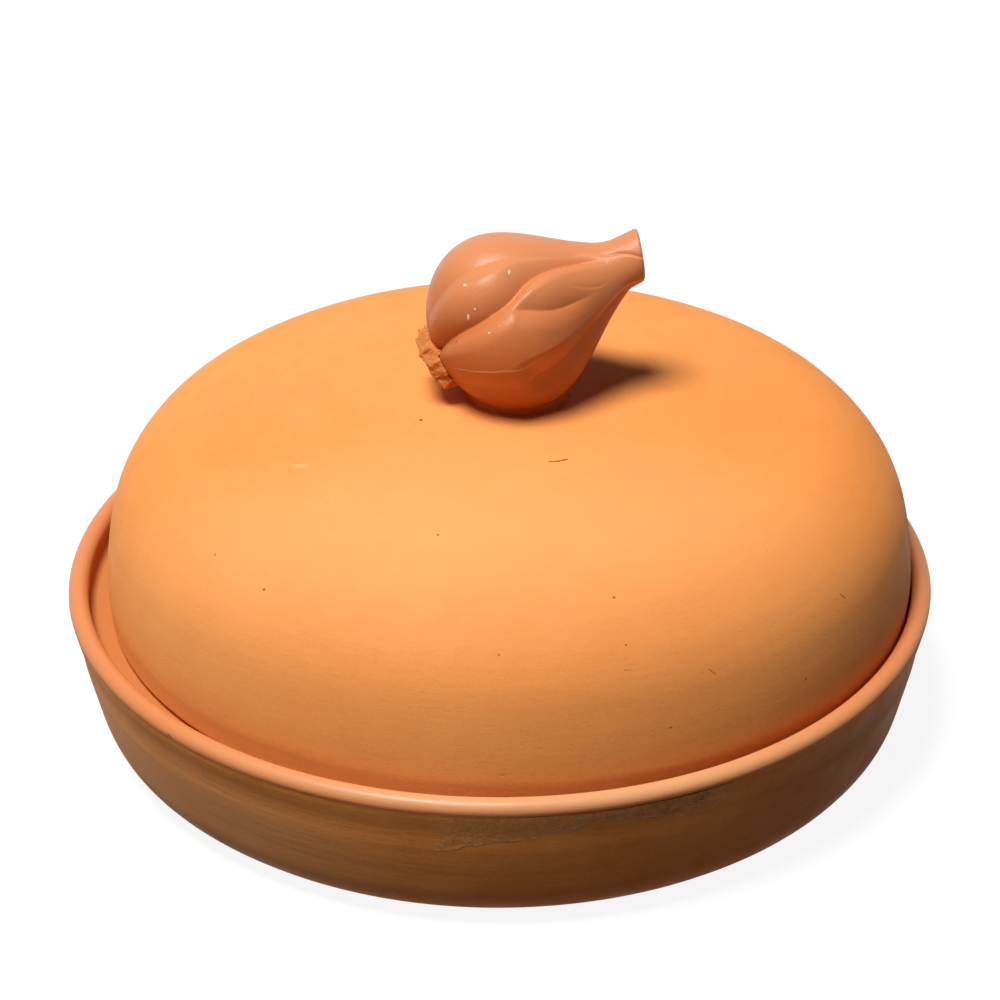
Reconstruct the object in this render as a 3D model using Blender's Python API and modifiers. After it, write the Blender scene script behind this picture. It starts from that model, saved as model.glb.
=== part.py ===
"""Terracotta garlic roaster: a shallow round dish and a domed lid with a garlic bulb for its knob.

The dish stands on its flat base and the origin is at the middle of that base. The lid rests on a
ledge inside the dish's rim and lifts straight off. Units are metres and +Z is up.
"""
import math

import bpy
from mathutils import Matrix

# Gap left between two fired pieces that touch
PIECE_GAP = 0.0003

# Facets round a turned piece, and along the stretches of its profile
TURN_STEPS = 64
PAD_STEPS = 40
WALL_STEPS = 7
SIDE_STEPS = 3
SHOULDER_STEPS = 6
CROWN_STEPS = 4

# Neighbouring profile points closer than this are one point
SAME_POINT = 0.00001

# Dish, outside
DISH_RADIUS = 0.0975
DISH_HEIGHT = 0.0360
RIM_THICKNESS = 0.0044
RIM_OVERHANG = 0.0006
WALL_SLOPE_AT_RIM = math.radians(79.1)
WALL_SLOPE_AT_FOOT = math.radians(75.4)
FOOT_ROUNDING = 0.0140
COLLAR_HEIGHT = 0.0058
COLLAR_DEPTH = 0.0004

# Dish, inside
FLOOR_THICKNESS = 0.0055
LEDGE_DROP = 0.0068
LEDGE_WIDTH = 0.0081
LEDGE_FILLET = 0.0008
LEDGE_EDGE_ROUNDING = 0.0014
WELL_DRAFT = math.radians(3.0)
WELL_ROUNDING = 0.0110

# Lid
LID_PLAY = 0.0025
LID_SIDE_GAP = 0.0004
LID_WALL = 0.0048
LID_EDGE_ROUNDING = 0.0015
SKIRT_HEIGHT = 0.0067
SKIRT_DRAFT = math.radians(3.4)
SIDE_RADIUS = 0.0697
SIDE_SLOPE = math.radians(76.7)
SHOULDER_RADIUS = 0.0282
CROWN_SLOPE = math.radians(10.9)

# Knob: a garlic bulb on its side, with its stem raised
BULB_RADIUS = 0.0201
BULB_ROOT_LENGTH = 0.0174
BULB_NECK_LENGTH = 0.0278
NECK_FULLNESS = 0.8
NARROWING_START = 0.8
STEM_RADIUS = 0.0063
STEM_LENGTH = 0.0048
STEM_END_RADIUS = 0.0056
STEM_END_ROUNDING = 0.0008
STEM_END_SLANT = 0.36
SLANT_START = 0.75
STEM_DROP = 0.0004
DROP_START = 0.3
KNOB_TILT = math.radians(27.5)
KNOB_TURN = math.radians(6.0)
FOOT_FLAT_RADIUS = 0.0118
PAD_THICKNESS = 0.0008
PAD_INSET = 0.0010
NECK_RINGS = 19
ROOT_RINGS = 13

# Creases between the cloves, in order round the bulb. A course gives the crease's angle in degrees,
# from the front towards the top, at shares of the length from the root to the stem end. Then come
# the depth at the widest ring, the angles it is wide on its upper and its lower side, the shares
# where it starts and ends, and how many columns of the mesh lie between it and the next one
CLOVE_CREASES = (
    (((0.0, -10), (0.3, -16), (0.41, -20), (0.51, -24), (0.62, -27), (0.71, -33), (1.0, -46)),
     0.0020, 21, 14, 0.26, 0.98, 16),
    (((0.0, 39), (0.3, 35), (0.42, 38), (0.56, 51), (0.75, 57), (0.87, 46), (1.0, 16)),
     0.0036, 27, 17, -0.20, 1.06, 6),
    (((0.0, 74), (0.5, 70), (1.0, 66)), 0.0013, 18, 18, 0.02, 0.86, 10),
    (((0.0, 134), (0.5, 128), (1.0, 118)), 0.0026, 22, 22, -0.20, 1.0, 8),
    (((0.0, 174), (0.5, 168), (1.0, 158)), 0.0030, 22, 22, -0.20, 1.0, 8),
    (((0.0, 214), (0.5, 208), (1.0, 198)), 0.0026, 22, 22, -0.20, 1.0, 8),
    (((0.0, 254), (0.5, 248), (1.0, 236)), 0.0030, 22, 22, -0.20, 1.0, 8),
    (((0.0, 300), (0.5, 290), (1.0, 276)), 0.0022, 22, 22, -0.10, 1.0, 8),
)
# One more clove starts part way along, over a crease that leaves the one above it
POCKET_CREASE = (((0.34, 38), (0.46, 29), (0.59, 17), (0.75, 8)), 0.0028, 17, 12, 0.32, 0.90, 0)
CREASE_FADE = 0.16
CREASE_TAPER = 0.7

# Root plate: the ragged stub of roots at the bulb's root end
ROOT_RADIUS = 0.0074
ROOT_THICKNESS = 0.0036
ROOT_EMBED = 0.0012
ROOT_STUBS = 11
ROOT_STUB_HEIGHT = 0.0009
ROOT_FACETS_PER_STUB = 4

# Sizes that follow from the ones above
BEAD_RADIUS = RIM_THICKNESS / 2
BEAD_HEIGHT = DISH_HEIGHT - BEAD_RADIUS
GALLERY_RADIUS = DISH_RADIUS - RIM_THICKNESS
LEDGE_HEIGHT = DISH_HEIGHT - LEDGE_DROP
LEDGE_INNER_RADIUS = GALLERY_RADIUS - LEDGE_WIDTH
LID_RADIUS = GALLERY_RADIUS - LID_PLAY
LID_SHIFT = LID_PLAY - LID_SIDE_GAP
LID_SEAT_HEIGHT = LEDGE_HEIGHT + PIECE_GAP
BULB_COLUMNS = sum(crease[-1] for crease in CLOVE_CREASES)
STEM_TIP = BULB_NECK_LENGTH + STEM_LENGTH
BULB_LENGTH = BULB_ROOT_LENGTH + STEM_TIP

CLAY_ORANGE = (0.80, 0.36, 0.13, 1.0)
CLAY_BROWN = (0.66, 0.27, 0.10, 1.0)
CLAY_PINK = (0.78, 0.33, 0.16, 1.0)
CLAY_PALE = (0.84, 0.42, 0.22, 1.0)


def clear_scene():
    for old in list(bpy.data.objects):
        bpy.data.objects.remove(old, do_unlink=True)


def new_collection(name):
    made = bpy.data.collections.new(name)
    bpy.context.scene.collection.children.link(made)
    return made


def clay(name, colour):
    """Unglazed fired clay: matt, not metallic."""
    made = bpy.data.materials.new(name)
    made.use_nodes = True
    shader = made.node_tree.nodes["Principled BSDF"]
    shader.inputs["Base Color"].default_value = colour
    shader.inputs["Roughness"].default_value = 0.85
    shader.inputs["Metallic"].default_value = 0.0
    made.diffuse_color = colour
    return made


def arc(centre, radius, start, end, count):
    """Points on a circle in the profile plane, from the start angle to the end angle."""
    angles = [start + (end - start) * i / (count - 1) for i in range(count)]
    return [(centre[0] + radius * math.cos(a), centre[1] + radius * math.sin(a)) for a in angles]


def clean_profile(points):
    """The points without neighbours that lie on the same spot."""
    kept = [points[0]]
    for point in points[1:]:
        if math.dist(point, kept[-1]) > SAME_POINT:
            kept.append(point)
    return kept


def turned(name, profile, steps, collection, material=None):
    """A profile of (radius, height) points at +X, turned round Z by a Screw modifier."""
    mesh = bpy.data.meshes.new(name)
    points = clean_profile(profile)
    edges = [(i, i + 1) for i in range(len(points) - 1)]
    mesh.from_pydata([(r, 0.0, z) for r, z in points], edges, [])
    made = bpy.data.objects.new(name, mesh)
    collection.objects.link(made)
    if material:
        mesh.materials.append(material)
    screw = made.modifiers.new("turn", "SCREW")
    screw.axis = "Z"
    screw.angle = math.tau
    screw.steps = steps
    screw.render_steps = steps
    screw.use_merge_vertices = True
    screw.merge_threshold = SAME_POINT
    screw.use_smooth_shade = True
    return made


def made_real(thing):
    """Replaces an object's modifiers by the mesh that they make."""
    bpy.context.view_layer.update()
    evaluated = thing.evaluated_get(bpy.context.evaluated_depsgraph_get())
    mesh = bpy.data.meshes.new_from_object(evaluated)
    thing.modifiers.clear()
    thing.data = mesh
    mesh.name = thing.name
    return thing


def as_cutter(thing):
    thing.hide_render = True
    thing.display_type = "WIRE"


def cut(thing, cutter):
    boolean = thing.modifiers.new("cut " + cutter.name, "BOOLEAN")
    boolean.operation = "DIFFERENCE"
    boolean.solver = "EXACT"
    boolean.object = cutter


def dish_outer_wall():
    """The rim bead, the collar under it, the belly and the rounded foot, from the top down."""
    bead_centre = (DISH_RADIUS - BEAD_RADIUS, BEAD_HEIGHT)
    lower_bead = math.acos(min(1.0, 1.0 - RIM_OVERHANG / BEAD_RADIUS))
    points = arc(bead_centre, BEAD_RADIUS, math.radians(165), -lower_bead, 7)

    # the wall is a long arc whose slope eases from the rim to the foot
    wall_top = bead_centre[1] - BEAD_RADIUS * math.sin(lower_bead)
    wall_start = DISH_RADIUS - RIM_OVERHANG
    foot_rise = FOOT_ROUNDING * (1 - math.cos(WALL_SLOPE_AT_FOOT))
    bend = math.cos(WALL_SLOPE_AT_FOOT) - math.cos(WALL_SLOPE_AT_RIM)
    belly_radius = (wall_top - foot_rise) / bend
    for i in range(1, WALL_STEPS + 1):
        slope = WALL_SLOPE_AT_RIM + (WALL_SLOPE_AT_FOOT - WALL_SLOPE_AT_RIM) * i / WALL_STEPS
        drop = belly_radius * (math.cos(slope) - math.cos(WALL_SLOPE_AT_RIM))
        inset = belly_radius * (math.sin(WALL_SLOPE_AT_RIM) - math.sin(slope))
        share = drop / COLLAR_HEIGHT
        collar = COLLAR_DEPTH * math.sin(math.pi * share) ** 2 if share < 1 else 0.0
        points.append((wall_start - inset - collar, wall_top - drop))

    foot_centre = (points[-1][0] - FOOT_ROUNDING * math.sin(WALL_SLOPE_AT_FOOT), FOOT_ROUNDING)
    points += arc(foot_centre, FOOT_ROUNDING, WALL_SLOPE_AT_FOOT - math.pi / 2, -math.pi / 2, 5)[1:]
    points.append((0.0, 0.0))
    return points


def dish_inside():
    """The floor, the well's side, the ledge that carries the lid, and the gallery wall."""
    side = WELL_DRAFT
    well_top = (LEDGE_INNER_RADIUS, LEDGE_HEIGHT - LEDGE_EDGE_ROUNDING)
    centre_height = FLOOR_THICKNESS + WELL_ROUNDING
    side_radius = well_top[0] - (well_top[1] - centre_height) * math.tan(side)
    centre = (side_radius - WELL_ROUNDING, centre_height)
    points = [(0.0, FLOOR_THICKNESS)]
    points += arc(centre, WELL_ROUNDING, -math.pi / 2, -side, 6)
    edge_centre = (LEDGE_INNER_RADIUS + LEDGE_EDGE_ROUNDING, LEDGE_HEIGHT - LEDGE_EDGE_ROUNDING)
    points += arc(edge_centre, LEDGE_EDGE_ROUNDING, math.pi, math.pi / 2, 4)
    fillet_centre = (GALLERY_RADIUS - LEDGE_FILLET, LEDGE_HEIGHT + LEDGE_FILLET)
    points += arc(fillet_centre, LEDGE_FILLET, -math.pi / 2, 0.0, 3)
    points.append((GALLERY_RADIUS, BEAD_HEIGHT))
    return points


def dome_arcs():
    """Outer points of the lid from the crown down to its widest ring, each with its slope."""
    crown_start = LID_RADIUS - SIDE_RADIUS * (1 - math.sin(SIDE_SLOPE))
    crown_start -= SHOULDER_RADIUS * (math.sin(SIDE_SLOPE) - math.sin(CROWN_SLOPE))
    crown_radius = crown_start / math.sin(CROWN_SLOPE)
    stretches = (
        (SIDE_RADIUS, math.pi / 2, SIDE_SLOPE, SIDE_STEPS),
        (SHOULDER_RADIUS, SIDE_SLOPE, CROWN_SLOPE, SHOULDER_STEPS),
        (crown_radius, CROWN_SLOPE, 0.0, CROWN_STEPS),
    )
    radius, height = LID_RADIUS, SKIRT_HEIGHT
    points = [(radius, height, math.pi / 2)]
    for bend, first, last, count in stretches:
        for i in range(1, count + 1):
            slope = first + (last - first) * i / count
            r = radius - bend * (math.sin(first) - math.sin(slope))
            z = height + bend * (math.cos(slope) - math.cos(first))
            points.append((r, z, slope))
        radius, height = points[-1][0], points[-1][1]
    points[-1] = (0.0, height, 0.0)
    return points[::-1]


def lid_profile():
    """Down the outside of the dome, round its lower edge and up the inside."""
    dome = dome_arcs()
    outside = [(r, z) for r, z, slope in dome]
    inside = [(r - LID_WALL * math.sin(slope), z - LID_WALL * math.cos(slope)) for r, z, slope in dome]
    draft = SKIRT_HEIGHT * math.tan(SKIRT_DRAFT)
    edge = LID_EDGE_ROUNDING
    outer_edge = (LID_RADIUS - draft - edge, edge)
    inner_edge = (LID_RADIUS - LID_WALL - draft + edge, edge)
    rim = arc(outer_edge, edge, 0.0, -math.pi / 2, 4) + arc(inner_edge, edge, -math.pi / 2, -math.pi, 4)
    return outside + rim + inside[::-1]


def lid_rise():
    """Height of the lid from its lower edge to the top of its crown."""
    return dome_arcs()[0][1]


def bulb_radius_at(along):
    """Radius over the cloves at a distance along the bulb's axis from its widest ring."""
    if along <= 0:
        return BULB_RADIUS * math.sqrt(max(0.0, 1 - (along / BULB_ROOT_LENGTH) ** 2))
    share = min(1.0, along / BULB_NECK_LENGTH)
    fall = (0.5 + 0.5 * math.cos(math.pi * share)) ** NECK_FULLNESS
    start = BULB_NECK_LENGTH * NARROWING_START
    narrowing = (STEM_RADIUS - STEM_END_RADIUS) * max(0.0, along - start) / (STEM_TIP - start)
    return STEM_RADIUS + (BULB_RADIUS - STEM_RADIUS) * fall - narrowing


def bulb_profile(offset):
    """Half outline of the bulb from the stem end down to the root, set out by an offset."""
    end = STEM_END_ROUNDING
    points = [(0.0, STEM_TIP + offset)]
    points += arc((STEM_END_RADIUS - end, STEM_TIP - end), end + offset, math.pi / 2, 0.0, 3)
    for i in range(1, NECK_RINGS + 1):
        along = (STEM_TIP - end) * (1 - i / NECK_RINGS)
        points.append((bulb_radius_at(along) + offset, along))
    for i in range(1, ROOT_RINGS + 1):
        angle = math.pi / 2 * i / ROOT_RINGS
        r = (BULB_RADIUS + offset) * math.cos(angle)
        points.append((r, -(BULB_ROOT_LENGTH + offset) * math.sin(angle)))
    points[-1] = (0.0, points[-1][1])
    return points


def smooth_step(value):
    value = min(1.0, max(0.0, value))
    return value * value * (3 - 2 * value)


def course_angle(course, share):
    """Angle of a crease at a share of the length, on a smooth line through its stations."""
    if share <= course[0][0]:
        return course[0][1]
    for i in range(len(course) - 1):
        (at, here), (to, there) = course[i], course[i + 1]
        if share <= to:
            before, after = course[max(0, i - 1)], course[min(len(course) - 1, i + 2)]
            step = (share - at) / (to - at)
            leave = (there - before[1]) / (to - before[0]) * (to - at)
            arrive = (after[1] - here) / (after[0] - at) * (to - at)
            turn = 3 * (there - here) - 2 * leave - arrive
            settle = 2 * (here - there) + leave + arrive
            return here + step * (leave + step * (turn + step * settle))
    return course[-1][1]


def clove_angle(turn, share):
    """Angle in degrees of a point of the turned mesh, once its columns are drawn along the creases."""
    column = (turn % 1.0) * BULB_COLUMNS
    following = CLOVE_CREASES[1:] + CLOVE_CREASES[:1]
    for crease, after in zip(CLOVE_CREASES, following):
        columns = crease[-1]
        if column <= columns:
            break
        column -= columns
    here = course_angle(crease[0], share)
    reach = (course_angle(after[0], share) - here) % 360
    return here + reach * column / columns


def crease_depth(share, angle):
    """How deep the creases between the cloves are at one place, as on the bulb's widest ring."""
    total = 0.0
    for course, depth, upper, lower, start, end, columns in CLOVE_CREASES + (POCKET_CREASE,):
        away = (angle - course_angle(course, share) + 180) % 360 - 180
        width = upper if away > 0 else lower
        window = smooth_step((share - start) / CREASE_FADE) * smooth_step((end - share) / CREASE_FADE)
        total += (depth * window * max(0.0, 1 - abs(away) / width) ** 2) ** 4
    return total ** 0.25


def press_cloves(mesh):
    """Presses the creases into a turned bulb, lowers its stem and cuts the stem's end askew."""
    for point in mesh.vertices:
        x, y, along = point.co
        radius = math.hypot(x, y)
        if radius > SAME_POINT:
            share = (along + BULB_ROOT_LENGTH) / BULB_LENGTH
            angle = clove_angle(math.atan2(-y, x) / math.tau, share)
            depth = crease_depth(share, angle) * min(1.0, radius / BULB_RADIUS) ** CREASE_TAPER

            # inward is square to the bulb's skin, and at the stem straight in
            inward = (radius / BULB_RADIUS ** 2, min(0.0, along) / BULB_ROOT_LENGTH ** 2)
            depth /= math.hypot(*inward)
            radius -= depth * inward[0]
            along -= depth * inward[1]
            x = -radius * math.sin(math.radians(angle))
            y = -radius * math.cos(math.radians(angle))
        drop = STEM_DROP * smooth_step((along / STEM_TIP - DROP_START) / (1 - DROP_START))
        slant = STEM_END_SLANT * smooth_step((along / STEM_TIP - SLANT_START) / (1 - SLANT_START))
        point.co = (x + drop, y, along - x * slant)


def bulb(name, offset, collection, material=None):
    made = made_real(turned(name, bulb_profile(offset), BULB_COLUMNS, collection, material))
    press_cloves(made.data)
    made.data.shade_smooth()
    return made


def bulb_foot():
    """Where the tilted bulb is lowest: how far towards the stem, and how far below its centre."""
    along, across = math.sin(KNOB_TILT), math.cos(KNOB_TILT)
    depth = math.hypot(BULB_ROOT_LENGTH * along, BULB_RADIUS * across)
    shift = (BULB_RADIUS ** 2 - BULB_ROOT_LENGTH ** 2) * along * across / depth
    return shift, depth


def root_profile():
    """A thick disc with a rounded edge and a slight hollow in its outer face."""
    half = ROOT_THICKNESS / 2
    centre = ROOT_RADIUS - half
    return (
        [(0.0, half)]
        + arc((centre, 0.0), half, math.pi / 2, -math.pi / 2, 7)
        + [(centre * 0.5, -half * 0.8), (0.0, -half * 0.7)]
    )


def roughen_root(mesh):
    """Breaks the disc's edge and outer face into the stubs of cut roots."""
    for point in mesh.vertices:
        x, y, z = point.co
        radius = math.hypot(x, y)
        angle = math.atan2(y, x)
        share = radius / ROOT_RADIUS
        wave = 0.7 * math.sin(ROOT_STUBS * angle)
        uneven = math.sin(3 * angle + 0.7) * 0.35 + math.sin(5 * angle + 2.1) * 0.25
        swell = ROOT_STUB_HEIGHT * (wave + uneven) * smooth_step((share - 0.3) / 0.6)
        if radius > SAME_POINT:
            x, y = x * (1 + swell / radius), y * (1 + swell / radius)
        outer = smooth_step(0.5 - z / ROOT_THICKNESS)
        ripple = math.sin(ROOT_STUBS * angle + 1.1) * math.sin(math.pi * share)
        point.co = (x, y, z - ROOT_STUB_HEIGHT * 0.5 * outer * ripple)


def pad_profile():
    """The thin cushion of slip under the knob, with a rounded edge."""
    radius = FOOT_FLAT_RADIUS - PAD_INSET
    half = PAD_THICKNESS / 2
    edge = arc((radius - half, half), half, math.pi / 2, -math.pi / 2, 5)
    return [(0.0, PAD_THICKNESS)] + edge + [(0.0, 0.0)]


def build():
    clear_scene()
    parts = new_collection("garlic_roaster")
    cutters = new_collection("cutters")

    dish = turned("dish", dish_inside() + dish_outer_wall(), TURN_STEPS, parts,
                  clay("dish terracotta", CLAY_BROWN))

    lid = turned("lid", lid_profile(), TURN_STEPS, parts, clay("lid terracotta", CLAY_ORANGE))
    lid.location = (LID_SHIFT, 0.0, LID_SEAT_HEIGHT)

    # the knob is luted to the crown with a pad of slip
    pad_height = lid_rise() + PIECE_GAP
    pad = turned("knob_slip_pad", pad_profile(), PAD_STEPS, parts, clay("pad terracotta", CLAY_BROWN))
    pad.parent = lid
    shift, depth = bulb_foot()
    pad.location = (shift * math.cos(KNOB_TURN), shift * math.sin(KNOB_TURN), pad_height)

    foot_height = pad_height + PAD_THICKNESS + PIECE_GAP
    knob = bpy.data.objects.new("knob axis", None)
    parts.objects.link(knob)
    knob.parent = lid
    centre_height = foot_height + depth * math.sqrt(1 - (FOOT_FLAT_RADIUS / BULB_RADIUS) ** 2)
    knob.location = (0.0, 0.0, centre_height)
    knob.rotation_euler = (0.0, math.pi / 2 - KNOB_TILT, KNOB_TURN)

    garlic = bulb("knob_bulb", 0.0, parts, clay("knob terracotta", CLAY_PINK))
    garlic.parent = knob

    # a flat is pared under the bulb so that it sits down on the pad
    bpy.ops.mesh.primitive_cube_add(size=1.0)
    flat = bpy.context.object
    flat.name = "knob flat cutter"
    side = 6 * BULB_RADIUS
    flat.data.transform(Matrix.Scale(side, 4))
    for owner in list(flat.users_collection):
        owner.objects.unlink(flat)
    cutters.objects.link(flat)
    flat.parent = lid
    flat.location = (0.0, 0.0, foot_height - side / 2)
    as_cutter(flat)
    cut(garlic, flat)

    root_steps = ROOT_STUBS * ROOT_FACETS_PER_STUB
    root = made_real(turned("knob_root_plate", root_profile(), root_steps, parts,
                            clay("root terracotta", CLAY_PALE)))
    roughen_root(root.data)
    root.data.shade_smooth()
    root.parent = knob
    root.location = (0.0, 0.0, -BULB_ROOT_LENGTH - ROOT_THICKNESS / 2 + ROOT_EMBED + PIECE_GAP)
    clearance = bulb("root seat cutter", PIECE_GAP, cutters)
    clearance.parent = knob
    as_cutter(clearance)
    cut(root, clearance)

    bpy.context.view_layer.update()


build()
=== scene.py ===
# %% [markdown]
# # A garlic roaster in unglazed terracotta
#
# The real object is three jobs of a pottery: a dish and a lid thrown on a wheel, and a knob pressed in
# a mould and shaped as a garlic bulb on its side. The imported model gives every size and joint. This
# file gives the surfaces: finer turned walls, sharper creases between the cloves, and fired clay.

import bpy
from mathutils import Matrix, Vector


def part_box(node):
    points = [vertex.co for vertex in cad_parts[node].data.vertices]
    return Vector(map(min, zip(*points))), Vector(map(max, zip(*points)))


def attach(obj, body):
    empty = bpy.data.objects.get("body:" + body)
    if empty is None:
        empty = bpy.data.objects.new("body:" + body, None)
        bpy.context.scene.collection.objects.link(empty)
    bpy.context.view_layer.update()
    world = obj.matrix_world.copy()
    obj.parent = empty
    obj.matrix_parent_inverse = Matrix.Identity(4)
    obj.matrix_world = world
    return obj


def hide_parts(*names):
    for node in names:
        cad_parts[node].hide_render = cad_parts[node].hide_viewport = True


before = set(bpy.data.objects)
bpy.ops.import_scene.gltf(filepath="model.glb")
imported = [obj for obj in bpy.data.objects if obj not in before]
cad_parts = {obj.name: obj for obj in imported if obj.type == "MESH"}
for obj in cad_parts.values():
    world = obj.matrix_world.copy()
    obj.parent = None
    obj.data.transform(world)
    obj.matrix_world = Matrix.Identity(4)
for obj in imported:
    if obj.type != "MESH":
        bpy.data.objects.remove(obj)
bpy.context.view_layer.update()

# %% Libraries
import math

import bmesh
import bpy
import numpy as np
from mathutils import Euler, Matrix, Vector

MM = 0.001

# %% [markdown]
# ## Small helpers
#
# A node tree reads best when each node is one call that names its kind, its settings and what goes
# into it. Colours are written as a painter would note them, in sRGB hex, and a shader wants them
# linear. A pattern is given by its size, and a texture wants how often that fits into a metre.


# %% Helpers
def add(tree, kind, inputs=()):
    """Adds a node, sets its properties, and fills its sockets with values or with links.

    A kind is the node's type, or its type and its settings. Sockets are named in a dictionary, or
    taken in their order from a tuple. A node given as a value stands for its first live output."""
    kind, settings = (kind, {}) if isinstance(kind, str) else kind
    node = tree.nodes.new(kind)
    for name, value in settings.items():
        setattr(node, name, value)
    for socket, value in inputs.items() if isinstance(inputs, dict) else enumerate(inputs):
        if isinstance(value, bpy.types.Node):
            value = next(output for output in value.outputs if output.enabled)
        if isinstance(value, bpy.types.NodeSocket):
            tree.links.new(value, node.inputs[socket])
        else:
            node.inputs[socket].default_value = value
    return node


def linear(code):
    """An sRGB colour such as "#f6a25a" as the linear numbers of a shader socket."""
    channels = [int(code[i:i + 2], 16) / 255 for i in (1, 3, 5)]
    return [c / 12.92 if c <= 0.04045 else ((c + 0.055) / 1.055) ** 2.4 for c in channels] + [1.0]


def per(size):
    """How often a size in millimetres fits into a metre."""
    return 1 / (size * MM)


def placed(name, data):
    """A new object in the scene, made of this mesh, lamp or camera."""
    thing = bpy.data.objects.new(name, data)
    bpy.context.scene.collection.objects.link(thing)
    return thing


def bare_tree(owner):
    """The node tree of a material or a world, with nothing in it yet."""
    owner.use_nodes = True
    owner.node_tree.nodes.clear()
    return owner.node_tree


# %% The kinds of node that come up most, some with their settings
MATH, VECTOR, RANGE = "ShaderNodeMath", "ShaderNodeVectorMath", "ShaderNodeMapRange"
NOISE, CELLS = "ShaderNodeTexNoise", "ShaderNodeTexVoronoi"
SPLIT, JOIN = "ShaderNodeSeparateXYZ", "ShaderNodeCombineXYZ"
PLUS, MINUS, TIMES, TIMES_PLUS, OVER, LARGER = (
    (MATH, {"operation": word})
    for word in ("ADD", "SUBTRACT", "MULTIPLY", "MULTIPLY_ADD", "DIVIDE", "MAXIMUM"))
VECTOR_PLUS, VECTOR_MINUS, VECTOR_TIMES, VECTOR_TIMES_PLUS, VECTOR_OVER, VECTOR_SCALE = (
    (VECTOR, {"operation": word})
    for word in ("ADD", "SUBTRACT", "MULTIPLY", "MULTIPLY_ADD", "DIVIDE", "SCALE"))
OPEN_RANGE = RANGE, {"clamp": False}
TINT = "ShaderNodeMix", {"data_type": "RGBA"}
SHADE = "ShaderNodeMix", {"data_type": "RGBA", "blend_type": "MULTIPLY"}
WHITE = (1, 1, 1, 1)

# %% [markdown]
# ## Camera
#
# The camera stands a little above the object, as one holds a camera over a table. Its place was worked
# out from the ellipses of the rim and the lid. A long lens keeps the near and far rim alike in width.

# %% Camera
CAMERA_ELEVATION = math.radians(29.532)
CAMERA_DISTANCE = 797.4 * MM
CAMERA_TARGET = Vector((0.115 * MM, 0.0, 52.05 * MM))
CAMERA_LENS = 127.68
CAMERA_ROLL = math.radians(-0.164)
SENSOR_WIDTH = 36.0

camera = placed("camera", bpy.data.cameras.new("camera"))
camera.data.lens = CAMERA_LENS
camera.data.sensor_width = SENSOR_WIDTH
aim = Euler((math.pi / 2 - CAMERA_ELEVATION, 0.0, 0.0)).to_matrix() @ Matrix.Rotation(CAMERA_ROLL, 3, "Z")
camera.rotation_euler = aim.to_euler()
backwards = Vector((0.0, -math.cos(CAMERA_ELEVATION), math.sin(CAMERA_ELEVATION)))
camera.location = CAMERA_TARGET + CAMERA_DISTANCE * backwards
bpy.context.scene.camera = camera
print("camera at", tuple(round(c, 4) for c in camera.location))

# %% [markdown]
# ## Floor and light
#
# One soft box high at the front left does nearly all of the work: the shadow of the knob says where it
# stood, and how dark that shadow is says that little else was lit. A weak lamp from the left opens the
# shade of the left wall. Together they are set so that a colour renders about as it is written. The
# floor looks white to the camera by a little light of its own, and still shows the dish's shadow.

# %% Lamps
LAMP_DISTANCE = 2.0
# name, degrees to the right of the front, degrees above the floor, width in metres, and the value that
# a white surface facing the lamp gets
LAMPS = (
    ("key", -37, 69.5, 0.75, 1.21),
    ("side", -85, 42, 0.6, 0.03),
)

for name, azimuth, elevation, width, level in LAMPS:
    lamp = placed(name, bpy.data.lights.new(name, "AREA"))
    lamp.data.shape = "DISK"
    lamp.data.size = width
    lamp.data.energy = level * math.pi ** 2 * LAMP_DISTANCE ** 2
    level_part = math.cos(math.radians(elevation))
    towards_lamp = Vector((level_part * math.sin(math.radians(azimuth)),
                           -level_part * math.cos(math.radians(azimuth)),
                           math.sin(math.radians(elevation))))
    lamp.location = CAMERA_TARGET + LAMP_DISTANCE * towards_lamp
    lamp.rotation_euler = (-towards_lamp).to_track_quat("-Z", "Y").to_euler()
    print(name, "lamp at", tuple(round(c, 2) for c in lamp.location))


# %% World
FILL_LEVEL = 0.004
FILL_COLOUR = linear("#ffe2c4")


def looked_at(tree):
    """1 for rays that show the background: the camera's own, and those that gloss or glass sends on."""
    rays = add(tree, "ShaderNodeLightPath").outputs
    clear = add(tree, LARGER, (rays["Is Glossy Ray"], rays["Is Transmission Ray"]))
    return add(tree, LARGER, (rays["Is Camera Ray"], clear))


world = bpy.data.worlds.new("studio")
bpy.context.scene.world = world
tree = bare_tree(world)
fill = add(tree, "ShaderNodeBackground", {"Color": FILL_COLOUR, "Strength": FILL_LEVEL})
white = add(tree, "ShaderNodeBackground", {"Color": WHITE, "Strength": 1.0})
sky = add(tree, "ShaderNodeMixShader", (looked_at(tree), fill, white))
add(tree, "ShaderNodeOutputWorld", {"Surface": sky})
print("world fill", FILL_LEVEL)

# %% Floor
FLOOR_HALF = 3.0
FLOOR_GREY = 0.17
FLOOR_LIFT = 0.91

floor_mesh = bpy.data.meshes.new("floor")
corners = [(x * FLOOR_HALF, y * FLOOR_HALF, 0) for x, y in ((-1, -1), (1, -1), (1, 1), (-1, 1))]
floor_mesh.from_pydata(corners, [], [(0, 1, 2, 3)])
floor = placed("floor", floor_mesh)
paper = bpy.data.materials.new("studio paper")
tree = bare_tree(paper)
matt = add(tree, "ShaderNodeBsdfDiffuse", {"Color": (FLOOR_GREY, FLOOR_GREY, FLOOR_GREY, 1)})
lift = add(tree, "ShaderNodeEmission", {"Color": WHITE, "Strength": FLOOR_LIFT})
lifted = add(tree, "ShaderNodeAddShader", (matt, lift))
shown = add(tree, "ShaderNodeMixShader", (looked_at(tree), matt, lifted))
add(tree, "ShaderNodeOutputMaterial", {"Surface": shown})
floor_mesh.materials.append(paper)
print("floor", 2 * FLOOR_HALF, "m wide")

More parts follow.
